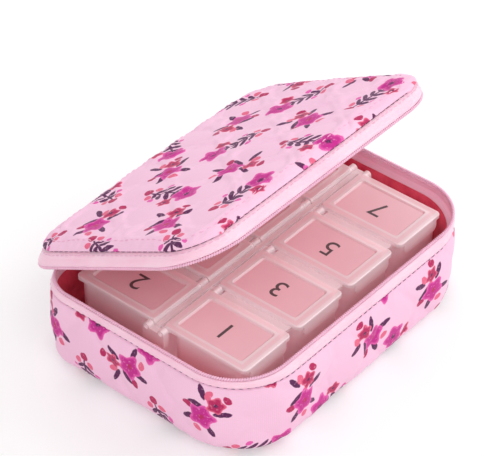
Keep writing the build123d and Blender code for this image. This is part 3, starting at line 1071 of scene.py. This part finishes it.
class PILLBOX_OT_lid_cloth(bpy.types.Operator):
    """Makes the quilted lid panel and the lining under it"""

    bl_idname = "pillbox.lid_cloth"
    bl_label = "Lid cloth"

    def execute(self, context):
        quilt = context.scene.pillbox_quilt
        edge_steps = np.array((0, 0.2, 0.5, 0.9, 1.4, 2.1, 3)) * mm
        grid = plan_grid(*lid_plan, 1.2 * mm, edge_steps)
        edge = np.maximum(edge_distance(grid, *lid_plan), 0)
        flat_points = lifted(grid.reshape(-1, 2), 0)
        crown = lid_top - (grid[..., 0] ** 2 + grid[..., 1] ** 2) / (2 * crown_radius)
        # The stuffed top slopes down to its seam over the last few millimetres
        roll = 7 * mm
        rolled = (1 - (1 - np.minimum(edge / roll, 1)) ** 2) ** 0.7
        puff = quilting(grid[..., 0], grid[..., 1], quilt.wide, quilt.tall)
        uneven = wrinkles(flat_points, size=18 * mm, depth=0.5 * mm, seed=31)
        pucker = wrinkles(flat_points, size=3 * mm, depth=0.25 * mm, seed=43)
        uneven, pucker = uneven.reshape(edge.shape), pucker.reshape(edge.shape)
        # Top-stitching holds the seam allowance down in a soft groove next to the seam
        groove = np.exp(-(((edge - quilt.top_stitch) / (0.9 * mm)) ** 2))
        swell = np.minimum(1, edge / (5 * mm)) * (quilt.lid_puff * (puff - 0.55) + uneven)
        swell += pucker * np.exp(-edge / (4 * mm))
        swell -= 0.35 * mm * groove
        seam = lid_seam + 0.15 * mm
        z = seam + (crown - seam) * rolled + swell * np.minimum(1, edge / (1.4 * mm))
        rows = np.dstack((grid, z))
        places = rolled_places(grid, lid_plan, 1.6 * mm * np.maximum(1 - edge / roll, 0) ** 2)
        # The print starts elsewhere on this cut of the cloth
        places = places[::-1] + 5 * mm
        cover = cover_finish(context.scene)
        top = to_lid(skin("lid_cover_cloth", rows[::-1], places, False, cover))
        top.data.flip_normals()
        held = np.maximum(1 - puff / QUILTED, 1 - edge / (1.2 * mm))
        held = np.maximum(held, groove).clip(0, 1)
        inflate(top, held[::-1].ravel(), 1.2 * mm)
        thicken(top, cover_thick)
        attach(top, "case_lid")
        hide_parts("lid_panel", "lid_padding")

        # The top-stitching lies on the swollen cover, straight under its line on the closed lid
        ring = plan_ring(*drawn_in(lid_plan, quilt.top_stitch))[0]
        surface = BVHTree.FromObject(top, context.evaluated_depsgraph_get())
        down = open_lid.to_3x3() @ Vector((0, 0, -1))
        above = [open_lid @ Vector((x, y, lid_top + 10 * mm)) for x, y in ring]
        line = looped(np.array([surface.ray_cast(point, down)[0] for point in above]))
        lift = np.tile(-down, (len(line), 1))
        row = stitch_row("lid_top_stitches", line, lift, lid_stitch, sewing_thread(context.scene))
        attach(row, "case_lid")

        inner = drawn_in(lid_plan, 1.1 * mm)
        grid = plan_grid(*inner, 1.8 * mm, (0, 0.6 * mm, 1.4 * mm, 2.6 * mm))
        edge = np.maximum(edge_distance(grid, *inner), 0)
        puff = quilting(grid[..., 0], grid[..., 1], quilt.wide, quilt.tall)
        low = lid_seam - 0.8 * mm
        z = low - 0.5 * mm * (puff - 0.4) * np.minimum(1, edge / (3 * mm))
        lining = lining_finish(context.scene)
        under = to_lid(skin("lid_lining_cloth", np.dstack((grid, z)), grid, False, lining))
        under.data.flip_normals()
        thicken(under, lining_thick)
        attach(under, "case_lid")
        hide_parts("lid_lining")
        return {"FINISHED"}


class PILLBOX_OT_zip(bpy.types.Operator):
    """Makes both zip tapes, their coils and the stitches that hold them"""

    bl_idname = "pillbox.zip"
    bl_label = "Zip"

    def execute(self, context):
        settings = context.scene.pillbox_zip
        dyes = opaque(settings.tape), opaque(settings.tape_deep)
        woven = finish_of("woven_polyester_tape", zip_tape_cloth, *dyes)
        filament = thread_finish("nylon_coil", settings.coil, 0.42)
        thread = sewing_thread(context.scene)
        base_ring, base_out = plan_ring(*base_plan)
        rim_ring, rim_out = plan_ring(*rim_plan)
        lid_ring, lid_out = plan_ring(*lid_plan)
        far = run_length(looped(rim_ring))
        shares = np.array((-0.06, 0.0, 0.06, 0.14, 0.24, 0.36, 0.5, 0.64, 0.78, 0.9, 1.0))
        # Both tapes bow out a little and have two faint lengthwise ridges where cloth is turned
        bulge = 0.35 * mm * np.sin(np.pi * np.clip(shares, 0, 1))
        for ridge, width in ((0.3, 0.09), (0.72, 0.1)):
            bulge += 0.3 * mm * np.exp(-(((shares - ridge) / width) ** 2))
        bulge -= 0.5 * mm * np.clip(1 - shares / 0.1, 0, 1)
        # The hidden rows are the tape's sewn margin, between the cover and the padding: how far
        # in and how high from the seam, in millimetres. The lid's tape is the same the other way
        # up, and stops short above the slider
        behind = (rim_ring[:, 1] > 0) & (rim_ring[:, 0] > notch[0]) & (rim_ring[:, 0] < notch[1])
        base_margin = ((1.5, -6), (1.5, -2), (1.2, -0.6))
        lid_margin = ((7.4, 1.2), (3, 1.2), (1.3, 0.6))
        for name, body, node_name, ring, seam, edge, margin in (
            ("base_tape_cloth", "case_base", "base_zip_tape",
             base_ring, base_height, tape_top, base_margin),
            ("lid_tape_cloth", "case_lid", "lid_zip_tape",
             lid_ring, lid_seam, lid_tape_low, lid_margin),
        ):
            rows = [lifted(ring - inset * mm * rim_out, seam + rise * mm) for inset, rise in margin]
            for share, push in zip(shares, bulge):
                line = ring + (rim_ring - ring) * share + rim_out * push
                rows.append(lifted(line, seam + (edge - seam) * share))
            rows = np.array(rows)
            if body == "case_lid":
                rows[..., 2] = np.maximum(rows[..., 2], np.where(behind, notch_top, edge))
            across = run_length(rows[:, 0])
            places = [lifted_places(far, width) for width in across]
            tape = skin(name, rows, places, True, woven)
            if body == "case_base":
                tape.data.flip_normals()
            thicken(tape, tape_thick)
            ride_half(tape, body)
            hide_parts(node_name)

        middle = rim_ring - coil_inset * rim_out
        radius = (coil_size - settings.wire) / 2
        for name, body, node_name, low, right in (
            ("base_zip_teeth", "case_base", "base_zip_coil", tape_top, zip_end),
            ("lid_zip_teeth", "case_lid", "lid_zip_coil", lid_coil_low, notch[1]),
        ):
            kept = (middle[:, 1] < 0) | (middle[:, 0] > right) | (middle[:, 0] < -zip_end)
            line, out = lifted(middle, low + coil_size / 2)[kept], lifted(rim_out, 0)[kept]
            teeth = coil_thread(name, line, out, settings.pitch, radius, settings.wire, filament)
            ride_half(teeth, body)
            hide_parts(node_name)

        # A line of dark plum thread is laid in each seam between print and tape, standing in for
        # the seam's shadow: a painted shadow line
        plum = thread_finish("seam_shadow_thread", context.scene.pillbox_cloth.plum, 0.7)
        for name, body, ring, out, z in (
            ("base_seam_shadow_line", "case_base", base_ring, base_out, base_height),
            ("lid_seam_shadow_line", "case_lid", lid_ring, lid_out, lid_seam),
        ):
            line, lift = lifted(ring - 0.3 * mm * out, z), lifted(out, 0)
            row = stitch_row(name, looped(line), looped(lift), seam_shadow_stitch, plum)
            ride_half(row, body)

        # Each tape is sewn down near its seam
        share = 0.2
        push = np.interp(share, shares, bulge)
        for name, body, ring, seam, edge in (
            ("base_tape_stitches", "case_base", base_ring, base_height, tape_top),
            ("lid_tape_stitches", "case_lid", lid_ring, lid_seam, lid_tape_low),
        ):
            line = ring + (rim_ring - ring) * share + rim_out * push
            line, lift = lifted(line, seam + (edge - seam) * share), lifted(rim_out, 0)
            row = stitch_row(name, looped(line), looped(lift), tape_stitch, thread)
            ride_half(row, body)
        return {"FINISHED"}


class PILLBOX_OT_hinge_strip(bpy.types.Operator):
    """Makes the cloth strip that joins lid and base behind, and bends it between them"""

    bl_idname = "pillbox.hinge_strip"
    bl_label = "Hinge strip"

    def execute(self, context):
        # The strip's way up: back wall, base seam, the lid tape's edge and the lid's seam
        y = base_depth / 2 + strip_stand
        strip_top = lid_seam + 0.4 * mm
        bends = (strip_foot, base_height, lid_tape_low, strip_top)
        stands = (y, y, rim_depth / 2 + strip_stand, lid_plan[1] / 2 + strip_stand)
        # Rows are closer together round the fold
        fine_low, fine_high = 22 * mm, 34 * mm
        heights = np.concatenate(
            (
                np.linspace(strip_foot, fine_low, 10, endpoint=False),
                np.linspace(fine_low, fine_high, 24, endpoint=False),
                np.linspace(fine_high, strip_top, 12),
            )
        )
        depths = np.interp(heights, bends, stands)
        xs = np.linspace(-strip_half_width, strip_half_width, 37)
        bend = np.clip((heights - fold.z + strip_bend) / (2 * strip_bend), 0, 1)
        bend = bend * bend * (3 - 2 * bend) * lid_opening
        rows, places = [], []
        for z, depth, angle in zip(heights, depths, bend):
            dy, dz = depth - fold.y, z - fold.z
            turned_y = fold.y + dy * math.cos(angle) + dz * math.sin(angle)
            turned_z = fold.z - dy * math.sin(angle) + dz * math.cos(angle)
            rows.append(lifted(lifted_places(xs, turned_y), turned_z))
            places.append(lifted_places(xs, z))
        strip = skin("hinge_strip_cloth", rows, places, False, cover_finish(context.scene))
        strip.data.flip_normals()
        thicken(strip, strip_thick)
        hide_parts("hinge_strip_base", "hinge_strip_lid")
        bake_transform(strip)

        # Its foot is sewn to the base along three sides
        hem = 1.6 * mm
        side, low, high = strip_half_width - hem, strip_foot + hem, fold.z - 3 * mm
        corners = ((-side, high), (-side, low), (side, low), (side, high))
        line = np.array([(x, y, z) for x, z in corners])
        lift = np.tile((0, 1, 0), (len(corners), 1))
        thread = sewing_thread(context.scene)
        row = stitch_row("hinge_strip_stitches", line, lift, strip_stitch, thread)
        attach(row, "case_base")
        return {"FINISHED"}


class PILLBOX_OT_organiser(bpy.types.Operator):
    """Gives the organiser its frosted plastic and prints a number on each lid"""

    bl_idname = "pillbox.organiser"
    bl_label = "Organiser"

    def execute(self, context):
        settings = context.scene.pillbox_organiser
        milk_and_painted_red = opaque(settings.tint), opaque(settings.deep)
        plastic = finish_of(
            "frosted_polypropylene", frosted_polypropylene, *milk_and_painted_red, settings.haze, settings.clear
        )
        ink = finish_of("pad_printing_ink", pad_ink, opaque(settings.ink))
        lids = [f"{row}_lid_{i}" for row in ("front", "back") for i in range(1, 5)]
        refinish(["pill_tray", *lids], plastic)
        ink_height = 0.02 * mm
        for i in range(1, 5):
            for row, side, number in (("front", -1, 2 * i - 1), ("back", 1, 2 * i)):
                low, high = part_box(f"{row}_lid_{i}")
                text = bpy.data.curves.new("number", "FONT")
                text.body, text.size = str(number), settings.number_height
                text.extrude = ink_height
                text.align_x, text.align_y = "CENTER", "CENTER"
                maker = bpy.data.objects.new("number", text)
                mesh = bpy.data.meshes.new_from_object(maker)
                bpy.data.objects.remove(maker)
                bpy.data.curves.remove(text)
                # Numbers read toward the hinge, with their tops toward the left end
                z = high.z - panel_depth + ink_height
                middle = Vector(((low.x + high.x) / 2, side * panel_middle, z))
                turned = Matrix.Rotation(math.pi / 2, 4, "Z")
                mesh.transform(Matrix.Translation(middle) @ turned)
                label = piece(f"{row}_number_{i}", mesh, ink)
                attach(label, f"{row}_lid_{i}")
        return {"FINISHED"}


class PILLBOX_OT_metalwork(bpy.types.Operator):
    """Enamels the slider, the pull and the zip's stops"""

    bl_idname = "pillbox.metalwork"
    bl_label = "Metalwork"

    def execute(self, context):
        enamel = opaque(context.scene.pillbox_zip.metal)
        metal = finish_of("enamelled_zinc", enamelled_zinc, enamel)
        stops = ("zip_end_stop", "base_top_stop", "lid_top_stop")
        refinish(["zip_slider", "zip_pull", *stops], metal)
        return {"FINISHED"}


class PILLBOX_OT_stage(bpy.types.Operator):
    """Sets the floor, the lights and the camera of the photograph"""

    bl_idname = "pillbox.stage"
    bl_label = "Stage"

    def execute(self, context):
        scene, settings = context.scene, context.scene.pillbox_stage
        scene.view_settings.view_transform = "Standard"
        half, below = 3, -0.05 * mm
        mesh = bpy.data.meshes.new("floor")
        corners = [(-half, -half, 0), (half, -half, 0), (half, half, 0), (-half, half, 0)]
        mesh.from_pydata(corners, [], [(0, 1, 2, 3)])
        floor = piece("floor", mesh, painted_floor(opaque(settings.floor)))
        floor.location.z = below

        scene.world = bpy.data.worlds.new("studio")
        tree = empty_tree(scene.world)
        strength = node(tree, "MapRange", seen(tree), 0, 1, settings.fill, 1.0)
        node(tree, "OutputWorld", node(tree, "Background", (1, 1, 1, 1), strength))

        # A soft key from the right, and larger lamps above the front, the back and the left end:
        # each one's place and size in metres, and its power against the key's
        lamp_target = Vector((0, 0, 30 * mm))
        for name, place, size, share in (
            ("key", (0.58, -0.38, 0.6), 0.5, 1.0),
            ("front", (-0.35, -0.62, 0.85), 0.8, 1.1),
            ("back", (0.25, 0.6, 0.9), 0.8, 0.75),
            ("left", (-0.7, -0.3, 0.5), 0.6, 0.25),
        ):
            light = bpy.data.lights.new(name, "AREA")
            light.size, light.energy = size, settings.key * share
            aimed(name, light, Vector(place), lamp_target - Vector(place))

        camera = bpy.data.cameras.new("photograph")
        camera.sensor_width, camera.lens = camera_sensor, camera_lens
        camera.clip_start, camera.clip_end = 0.05, 20
        level = math.cos(camera_elevation)
        back = Vector(
            (
                math.sin(camera_azimuth) * level,
                -math.cos(camera_azimuth) * level,
                math.sin(camera_elevation),
            )
        )
        place = camera_target + back * camera_distance
        scene.camera = aimed("photograph", camera, place, -back)
        return {"FINISHED"}


OPERATORS = (
    PILLBOX_OT_base_cloth,
    PILLBOX_OT_base_lining,
    PILLBOX_OT_lid_cloth,
    PILLBOX_OT_zip,
    PILLBOX_OT_hinge_strip,
    PILLBOX_OT_organiser,
    PILLBOX_OT_metalwork,
    PILLBOX_OT_stage,
)
GROUPS = {
    "pillbox_cloth": PILLBOX_PG_cloth,
    "pillbox_quilt": PILLBOX_PG_quilt,
    "pillbox_zip": PILLBOX_PG_zip,
    "pillbox_organiser": PILLBOX_PG_organiser,
    "pillbox_stage": PILLBOX_PG_stage,
}


class PILLBOX_PT_panel(bpy.types.Panel):
    """Lists the pieces and their settings"""

    bl_label = "Pill box"
    bl_idname = "PILLBOX_PT_panel"
    bl_space_type = "VIEW_3D"
    bl_region_type = "UI"
    bl_category = "Pill box"

    def draw(self, context):
        for name in GROUPS:
            box = self.layout.box()
            group = getattr(context.scene, name)
            for prop in group.__annotations__:
                box.prop(group, prop)
        for operator in OPERATORS:
            self.layout.operator(operator.bl_idname)


def register():
    for cls in (*GROUPS.values(), *OPERATORS, PILLBOX_PT_panel):
        bpy.utils.register_class(cls)
    for name, group in GROUPS.items():
        setattr(bpy.types.Scene, name, bpy.props.PointerProperty(type=group))


def unregister():
    for name in GROUPS:
        delattr(bpy.types.Scene, name)
    for cls in reversed((*GROUPS.values(), *OPERATORS, PILLBOX_PT_panel)):
        bpy.utils.unregister_class(cls)


def main():
    register()
    for operator in OPERATORS:
        group, name = operator.bl_idname.split(".")
        getattr(getattr(bpy.ops, group), name)()


if __name__ == "__main__":
    main()
